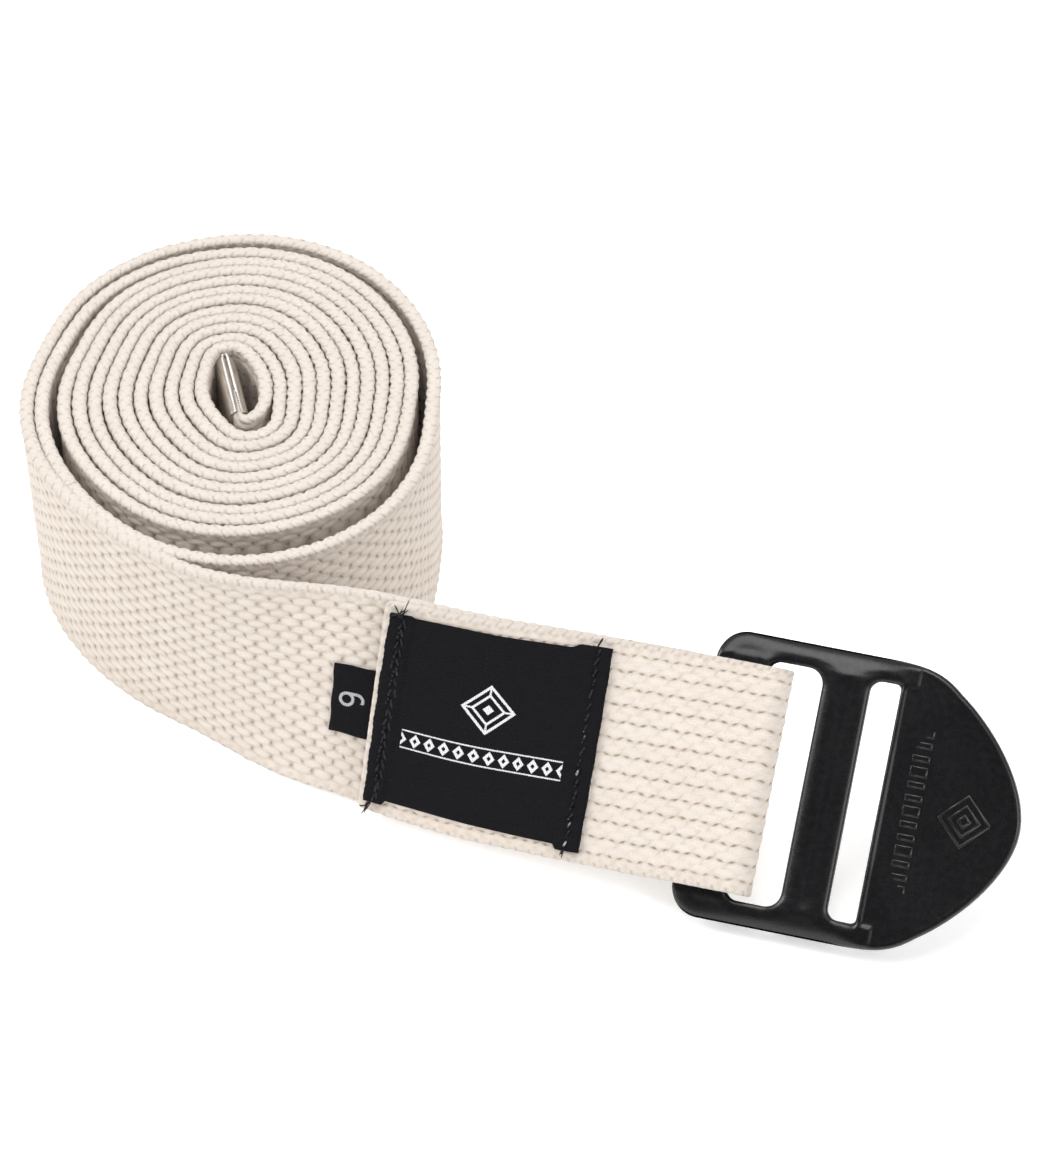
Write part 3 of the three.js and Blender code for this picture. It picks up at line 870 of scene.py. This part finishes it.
def make_label():
    face = LAYER_SPACING + CREST
    s = np.linspace(0, 1, 130)[:, None]
    t = np.linspace(0, 1, 116)[None, :]
    length, height = LABEL_END - LABEL_START, LABEL_HIGH - LABEL_LOW
    left, right = s * length, (1 - s) * length
    flap_left, flap_right = 1 - smooth(left, 3.4, 4.1), 1 - smooth(right, 4.0, 4.7)
    low = LABEL_LOW - 0.75 * flap_left - 0.8 * flap_right + 0.2 * np.sin(left / 7)
    high = LABEL_HIGH + 0.3 * flap_left + 0.7 * (1 - smooth(right, 5.2, 6.8)) - 0.35 * smooth(left, 8, 24)
    v = low + (high - low) * t
    ragged = 0.07 * np.sin(v * 0.9) + 0.04 * np.sin(v * 5.3 + 1) - 0.2 * np.sin(t * math.pi)
    x = LABEL_START + left + ragged * (1 - s) - ragged * s * 0.6 + 0 * v
    seams = np.exp(-(((left - SEAM_INSET) / 0.5) ** 2)) + np.exp(-(((right - SEAM_INSET) / 0.5) ** 2))
    folded = np.maximum(flap_left, flap_right) * 0.38
    pucker = 0.09 * np.sin(v * 2.3) * np.exp(-np.minimum(left, right) / 4.5) + 0.05 * np.sin(v / 3 + left / 5)
    rim = np.minimum(np.minimum(left, right) + 0 * t, (0.5 - abs(t - 0.5)) * height)
    rounding = 0.22 * np.sqrt(np.clip(1 - rim / 0.5, 0, 1))
    over = face + 0.5 + folded + pucker - 0.25 * seams * (0.6 + 0.4 * np.sin(v * 3.1)) - rounding
    middle = ((LABEL_START + LABEL_END) / 2, (LABEL_LOW + LABEL_HIGH) / 2)
    material = woven_material("woven_black_label", label_motif, (0.82, 0.82, 0.86))
    label = woven_patch("label_patch", x, v, face - 0.05 + 0 * x, over, material, middle)
    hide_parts("woven_label")
    return label


def make_tab():
    s = np.linspace(0, 1, 34)[:, None]
    t = np.linspace(0, 1, 44)[None, :]
    v = TAB_LOW + (TAB_HIGH - TAB_LOW) * t + 0.08 * np.sin(s * 9)
    x = TAB_START + (TAB_END - TAB_START) * s + 0.1 * np.sin(v * 1.1) * (1 - s)
    rim = np.minimum((TAB_END - TAB_START) * s + 0 * t, (0.5 - abs(t - 0.5)) * (TAB_HIGH - TAB_LOW))
    rounding = 0.25 * np.sqrt(np.clip(1 - rim / 0.45, 0, 1))
    over = CREST + 0.55 - rounding + 0.06 * np.sin(v)
    material = woven_material("woven_black_tab", numeral_six, (0.5, 0.5, 0.52))
    tab = woven_patch("tab_patch", x, v, CREST - 0.05 + 0 * x, over, material, (33.3, -0.6))
    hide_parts("size_tab")
    return tab


def strand(path, radius, sides=6):
    """Rings round a path, full in the middle and drawn in at both ends."""
    path = np.asarray(path, float)
    way = unit(np.gradient(path, axis=0))
    first = unit(np.cross(way, [0.3, 0.5, 0.8]))
    second = np.cross(way, first)
    t = np.linspace(0, 1, len(path))
    size = radius * np.sqrt(np.clip(1 - (2 * t - 1) ** 6, 0.12, 1))
    turn = np.arange(sides) / sides * 2 * math.pi
    ring = first[:, None] * np.cos(turn)[None, :, None] + second[:, None] * np.sin(turn)[None, :, None]
    return path[:, None] + ring * size[:, None, None]


def stitch_row(x, offset, low, high, slant, spread, sunk):
    """Stitches up the strap at x; each bows out from offset and dips to its needle holes."""
    strands, v = [], low
    while v < high:
        length = rng.uniform(1.25, 1.75)
        t = np.linspace(0, 1, 7)
        lean = slant * rng.uniform(0.6, 1.4)
        side = x + rng.normal(0, spread)
        bow = offset + 0.2 * np.sin(t * math.pi) - sunk
        strands.append(strand(on_tail(side + lean * (t - 0.5), v + length * t, bow), rng.uniform(0.17, 0.25)))
        v += length * rng.uniform(1.08, 1.3)
    return strands


def frayed(x, v, way, offset, count, reach):
    """Loose thread ends from one spot."""
    strands = []
    for _ in range(count):
        t = np.linspace(0, 1, 8)
        swing = rng.normal(0, 0.45, 2)
        length = reach * rng.uniform(0.6, 1.1)
        xs = x + rng.normal(0, 0.25) + (way[0] * t + swing[0] * t**2) * length
        vs = v + (way[1] * t + swing[1] * t**2) * length
        strands.append(strand(on_tail(xs, vs, offset + 0.35 * np.sin(t * 2.5)), rng.uniform(0.09, 0.14), 5))
    return strands


def make_seams(material):
    front = LAYER_SPACING + CREST + 0.75
    back = -(CREST + 0.1)
    left, right = LABEL_START + SEAM_INSET - 0.3, LABEL_END - SEAM_INSET
    low, high = LABEL_LOW - 0.5, LABEL_HIGH
    rows = {
        "left_top": stitch_row(left, front, low, high - 1, 0.35, 0.16, 0.05)
        + stitch_row(left + 0.75, front, low + 0.6, high - 0.5, -0.5, 0.2, 0.08)
        + frayed(LABEL_START + 1.8, LABEL_HIGH - 0.2, (0.05, 1), front, 7, 2.6)
        + frayed(LABEL_START + 1.3, LABEL_LOW - 0.6, (-0.35, -0.9), front, 6, 1.9),
        "right_top": stitch_row(right, front, low, high + 0.3, 0.55, 0.1, 0.06)
        + frayed(right - 0.6, LABEL_LOW - 0.8, (0.1, -1), front, 4, 1.0),
        "left_under": stitch_row(left, back, low, high, 0.2, 0.08, 0),
        "right_under": stitch_row(right, back, low, high, 0.2, 0.08, 0),
    }
    for row, strands in rows.items():
        piece = new_object(f"stitches_{row}", joined_rings(f"stitches_{row}", strands), material)
        count = len(piece.data.vertices)
        add_attribute(piece.data, "pale", np.full(count, 1.0 if row == "right_top" else 0.25))
        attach(piece, "tail")
        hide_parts(f"seam_{row}_thread")


# --- buckle
def arc_points(centre, radius, start, end, count):
    angle = np.radians(np.linspace(start, end, count))
    return np.column_stack([centre[0] + radius * np.cos(angle), centre[1] + radius * np.sin(angle)])


def buckle_outline():
    corner, half = BUCKLE_CORNER, BUCKLE_HALF_WIDTH
    flank = np.array([NOSE_FLANK, NOSE_FLANK_HALF])
    shoulder = bezier(np.array([NOSE_SHOULDER, half]), (31, half), (33.5, 23.2), flank, 24)
    nose = bezier(flank, (43, 16.2), (NOSE_TIP, 7.5), np.array([NOSE_TIP, 0]), 40)
    bar_corner = arc_points((corner - BAR_HALF, half - corner), corner, 180, 90, 20)
    upper = np.vstack([bar_corner, shoulder, nose[1:]])
    return np.vstack([upper, (upper * [1, -1])[::-1][1:]])


def opening_outline(start, end, near_radius, far_radius):
    """A slot from start to end, with one corner radius on its bar side and another on its far side."""
    half = OPENING_HALF
    corners = (
        ((end - far_radius, half - far_radius), far_radius, 0),
        ((start + near_radius, half - near_radius), near_radius, 90),
        ((start + near_radius, near_radius - half), near_radius, 180),
        ((end - far_radius, far_radius - half), far_radius, 270),
    )
    return np.vstack([arc_points(centre, radius, turn, turn + 90, 9) for centre, radius, turn in corners])


def distance_to(points, outline):
    """Distance of each point from a closed outline."""
    best = np.full(len(points), np.inf)
    for a, b in zip(outline, np.roll(outline, -1, axis=0)):
        side = b - a
        t = np.clip(((points - a) @ side) / max(side @ side, 1e-12), 0, 1)
        best = np.minimum(best, np.linalg.norm(points - a - t[:, None] * side, axis=1))
    return best


def plate_mesh(outlines, half):
    """A flat plate with holes, remeshed into small even faces; points in the buckle's own millimetres."""
    flat = np.vstack(outlines)
    triangles = tessellate_polygon([[Vector((*point, 0)) for point in outline] for outline in outlines])
    count = len(flat)
    points = [(*point, half) for point in flat] + [(*point, -half) for point in flat]
    faces = [tuple(t) for t in triangles] + [tuple(i + count for i in t[::-1]) for t in triangles]
    start = 0
    for outline in outlines:
        size = len(outline)
        for i in range(size):
            a, b = start + i, start + (i + 1) % size
            faces.append((a, b, b + count, a + count))
        start += size
    mesh = bpy.data.meshes.new("plate")
    mesh.from_pydata(points, [], faces)
    plate = linked("plate", mesh)
    remesh = plate.modifiers.new("even", "REMESH")
    remesh.mode = "VOXEL"
    remesh.voxel_size = 0.34
    settle = plate.modifiers.new("settle", "SMOOTH")
    settle.factor, settle.iterations = 0.5, 2
    even = bpy.data.meshes.new_from_object(plate.evaluated_get(bpy.context.evaluated_depsgraph_get()))
    bpy.data.objects.remove(plate)
    points = np.zeros(len(even.vertices) * 3)
    even.vertices.foreach_get("co", points)
    quads = np.zeros(len(even.loops), int)
    even.loops.foreach_get("vertex_index", quads)
    return points.reshape(-1, 3), quads.reshape(-1, 4)


def buckle_surface(points, outlines):
    """Rounds the plate's edges, crowns its arms and middle bar, and steps the nose down."""
    a, b, z = points.T
    outer, loop, grip = (distance_to(points[:, :2], outline) for outline in outlines)
    inside = np.minimum(outer, np.minimum(loop, grip))
    wall = 0.45
    on_bar = smooth(a, 12, 15) * (1 - smooth(a, 20.5, 22.5)) * (1 - smooth(np.abs(b), 19, 22.5))
    on_arm = smooth(np.abs(b), 18.5, 20.5) * (1 - smooth(a, 22, 29))
    at_grip_far = smooth(a, 25.6, 26.6) * (1 - smooth(a, 28, 30)) * (1 - smooth(np.abs(b), 19, 21))
    radius = 1.0 + 2.8 * on_bar + 1.8 * on_arm - 0.55 * at_grip_far
    full = BUCKLE_THICKNESS / 2
    share = np.clip(inside / radius, 0, 1)
    height = wall + (full - wall) * np.sqrt(1 - (1 - share) ** 2)
    result = z * height / full
    slope = 0.55 * (1 - smooth(a, -5, 11))
    fall = 0.24 * np.clip(np.abs(b) - 19.8, 0, None) * smooth(np.abs(b), 19, 21) * (1 - smooth(a, 21, 31))
    hollow = 0.34 * np.exp(-(((a - 18.2) / 1.7) ** 2)) * (1 - smooth(np.abs(b), 17, 21))
    beside = smooth(np.abs(b), 19.5, 20.5)
    step = 0.28 * smooth(a, 29.3, 29.9) * beside + 0.28 * smooth(a, 27.2, 28) * (1 - beside)
    dish = 0.35 * np.clip(1 - (((a - 37) / 11) ** 2 + (b / 19) ** 2), 0, 1)
    lowered = (slope + hollow + step + dish) * share + np.minimum(fall, 0.95)
    return np.column_stack([a, b, np.where(z > 0, result - lowered, result)])


def ridge_loop(path, half, low, high):
    """A raised band round a closed path of plan points."""
    path = np.asarray(path, float)
    ahead = unit(np.roll(path, -1, axis=0) - path)
    behind = unit(path - np.roll(path, 1, axis=0))
    bisector = ahead + behind
    out = np.column_stack([bisector[:, 1], -bisector[:, 0]])
    out = out / (np.sum(out * np.column_stack([ahead[:, 1], -ahead[:, 0]]), axis=1))[:, None]
    shoulder = 0.7
    rows = [(-1, low), (-shoulder, high), (shoulder, high), (1, low)]
    bands = [np.column_stack([path + out * half * s, np.full(len(path), z)]) for s, z in rows]
    return np.stack(bands, axis=1)


def raised_marks():
    """A generic moulded device: nested diamonds near the tip and a row of short bars across the nose."""
    surface, proud = BUCKLE_THICKNESS / 2 - 0.75, BUCKLE_THICKNESS / 2 - 0.42
    parts = []
    for reach in (4.3, 2.6, 1.0):
        diamond = [(41.2 + reach, 0), (41.2, reach), (41.2 - reach, 0), (41.2, -reach)]
        parts.append(ridge_loop(diamond, 0.28, surface, proud))
    for b in np.arange(-13.2, 16, 2.2):
        width = 0.42 if round(b * 10) % 3 else 0.75
        bar = [(33.6, b - width), (33.6, b + width), (30.9, b + width), (30.9, b - width)]
        parts.append(ridge_loop(bar, 0.2, surface, proud))
    return parts


def make_buckle():
    outlines = [
        buckle_outline(),
        opening_outline(*LOOP_OPENING, 2.0, 2.6),
        opening_outline(*GRIP_OPENING, 1.9, 0.6),
    ]
    points, quads = plate_mesh(outlines, BUCKLE_THICKNESS / 2)
    pieces, faces, start = [buckle_surface(points, outlines)], [quads], len(points)
    for part in raised_marks():
        faces.append(skin_quads(*part.shape[:2], True) + start)
        pieces.append(part.reshape(-1, 3))
        start += part.shape[0] * part.shape[1]
    local = np.vstack(pieces)
    world = bar_middle + local[:, :1] * [1, 0, 0] + local[:, 1:2] * bar_across + local[:, 2:] * bar_normal
    buckle = new_object("buckle_body", mesh_of("buckle_body", world, np.vstack(faces)), plastic_material())
    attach(buckle, "buckle")
    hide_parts("cinch_buckle")


# --- end clip
def make_clip():
    """Pressed steel clip: two sloping cheeks drawn together, with the sheet's toothed edges side by side."""
    way = unit(CLIP_MOUTH - CLIP_TIP)
    sideways = np.array([-way[1], way[0]])
    length = np.linalg.norm(CLIP_MOUTH - CLIP_TIP)
    low, high = (WIDTH - CLIP_HEIGHT) / 2, (WIDTH + CLIP_HEIGHT) / 2
    half = [
        (0.0, high - 1.3, 0), (0.24, high - 0.9, 0), (0.27, high - 0.1, 1), (0.6, high, 1),
        (0.74, high - 0.4, 0), (1.2, high - 0.6, 0), (1.6, high - 1.1, 0), (1.72, high - 3, 0),
        (1.75, low + 3, 0), (1.6, low + 1.1, 0), (1.2, low + 0.6, 0), (0.7, low + 0.3, 0), (0.3, low, 0),
    ]
    profile = np.array(half + [(-w, z, e) for w, z, e in half[:0:-1]])
    along = np.arange(0, length, 0.16)
    tooth = np.abs(np.sin(along * math.pi / 0.62)) ** 0.8
    taper = 0.82 + 0.18 * smooth(along, 0, 0.8)
    w = profile[None, :, 0] * taper[:, None]
    z = profile[None, :, 1] - profile[None, :, 2] * 0.3 * tooth[:, None]
    plan = CLIP_TIP + along[:, None, None] * way + w[..., None] * sideways
    points = np.concatenate([plan, z[..., None]], axis=-1)
    mesh = ring_mesh("clip_body", points)
    add_attribute(mesh, "along", np.broadcast_to(along[:, None], w.shape))
    add_attribute(mesh, "across", z)
    # the top ridges, dimmed where the teeth dip, carry the steel's painted highlight
    add_attribute(mesh, "edge", np.broadcast_to(profile[None, :, 2], w.shape) * (1 - 0.6 * tooth[:, None]))
    clip = new_object("clip_body", mesh, steel_material())
    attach(clip, "coil")
    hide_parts("end_clip")


# --- floor, light and camera
def make_floor():
    nodes = Nodes("floor_white")
    mottle = nodes.noise(nodes.place(), 30.0, 2)
    white = nodes.ramp(mottle, (0.0, (0.94, 0.94, 0.94)), (1.0, (0.96, 0.96, 0.96)))
    nodes.set(Base_Color=white, Roughness=0.9, Emission_Color=(1.0, 1.0, 1.0), Emission_Strength=0.35)
    mesh = bpy.data.meshes.new("floor")
    corners = [(x * FLOOR_REACH, y * FLOOR_REACH, 0) for x, y in ((-1, -1), (1, -1), (1, 1), (-1, 1))]
    mesh.from_pydata(corners, [], [(0, 1, 2, 3)])
    new_object("floor", mesh, nodes.material)


def direction(azimuth, elevation):
    """A direction by azimuth, from the front towards the right, and elevation."""
    azimuth, elevation = math.radians(azimuth), math.radians(elevation)
    level = math.cos(elevation)
    return Vector((math.sin(azimuth) * level, -math.cos(azimuth) * level, math.sin(elevation)))


def area_light(name, azimuth, elevation, distance, size, power):
    """A round light shining at the strap from azimuth (from the front towards the right) and elevation."""
    data = bpy.data.lights.new(name, "AREA")
    data.shape = "DISK"
    data.size = size
    data.energy = power
    light = linked(name, data)
    away = direction(azimuth, elevation)
    light.location = away * distance
    light.rotation_euler = away.to_track_quat("Z", "Y").to_euler()


def make_camera():
    away = direction(CAMERA_AZIMUTH, CAMERA_ELEVATION)
    target = Vector(placed(CAMERA_TARGET))
    data = bpy.data.cameras.new("camera")
    data.sensor_fit = "HORIZONTAL"
    data.sensor_width = 36
    data.lens = CAMERA_LENS
    data.clip_end = 40
    camera = linked("camera", data)
    camera.location = target + away * CAMERA_DISTANCE
    camera.rotation_euler = away.to_track_quat("Z", "Y").to_euler()
    bpy.context.scene.camera = camera


def make_world(strength, shade):
    """White all round, but for a soft dark card in front that the black plastic reflects."""
    world = bpy.data.worlds.new("studio")
    bpy.context.scene.world = world
    world.use_nodes = True
    tree = world.node_tree
    background = tree.nodes["Background"]
    where = tree.nodes.new("ShaderNodeTexCoord")
    towards = tree.nodes.new("ShaderNodeVectorMath")
    towards.operation = "DOT_PRODUCT"
    towards.inputs[1].default_value = direction(-14, 50)
    card = tree.nodes.new("ShaderNodeMapRange")
    card.interpolation_type = "SMOOTHSTEP"
    limits = (math.cos(math.radians(52)), math.cos(math.radians(18)), strength, strength * shade)
    for name, value in zip(("From Min", "From Max", "To Min", "To Max"), limits):
        card.inputs[name].default_value = value
    tree.links.new(where.outputs["Generated"], towards.inputs[0])
    tree.links.new(towards.outputs["Value"], card.inputs["Value"])
    tree.links.new(card.outputs["Result"], background.inputs["Strength"])
    background.inputs["Color"].default_value = (1, 1, 1, 1)
    bpy.context.scene.view_settings.view_transform = "Standard"


make_camera()
make_floor()
make_webbing(cotton_material())
for patch in (make_label(), make_tab()):
    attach(patch, "tail")
make_seams(thread_material())
make_buckle()
make_clip()
area_light("key", -72, 40, 1.1, 0.6, 6.6)
area_light("fill", 66, 34, 1.1, 0.8, 4.6)
area_light("overhead", 4, 84, 1.1, 0.8, 7.0)
make_world(0.72, 0.15)
